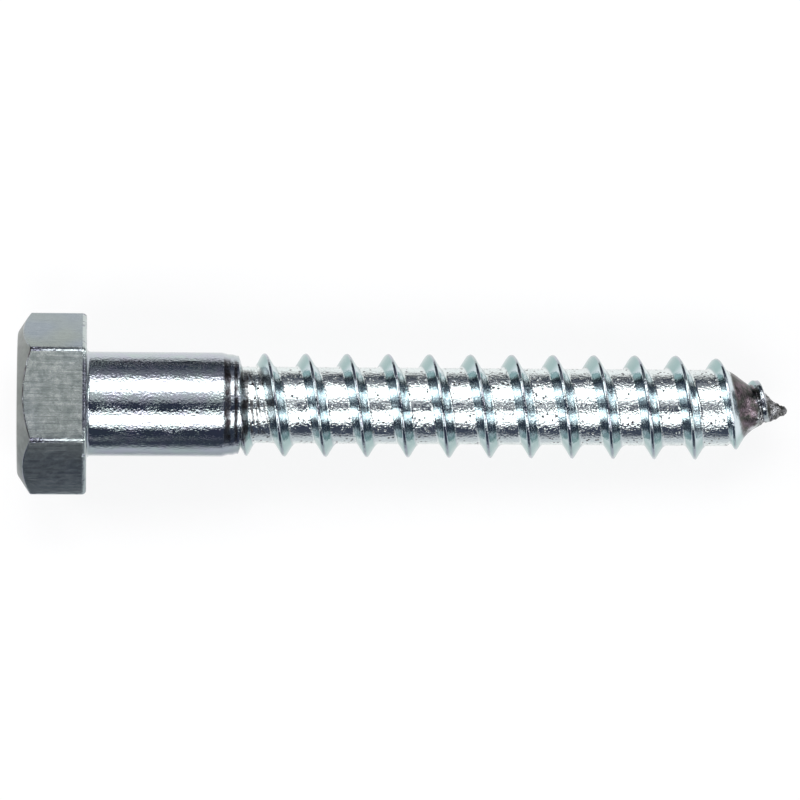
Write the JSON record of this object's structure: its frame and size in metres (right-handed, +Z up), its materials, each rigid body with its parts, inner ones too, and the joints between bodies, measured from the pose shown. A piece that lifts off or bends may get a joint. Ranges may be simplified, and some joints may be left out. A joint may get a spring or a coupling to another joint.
{
  "type": "hex head lag screw",
  "caption": "Heavy hex head wood screw with a plain shank, a coarse right-hand thread and a gimlet point, lying at rest on a flat of its head.",
  "frame": {"origin": "centre of the bounding box's bottom face, on the surface that the screw lies on", "axes": "+X along the screw from the head to the point, +Z up, +Y to the left when looking from the head to the point"},
  "size_m": [0.0682, 0.0162, 0.0142],
  "materials": {
    "zinc_plated_steel": "bright zinc plating with a faint blue tint, over cold formed steel"
  },
  "bodies": {
    "root": {"lag_screw": "zinc_plated_steel"}
  },
  "joints": []
}
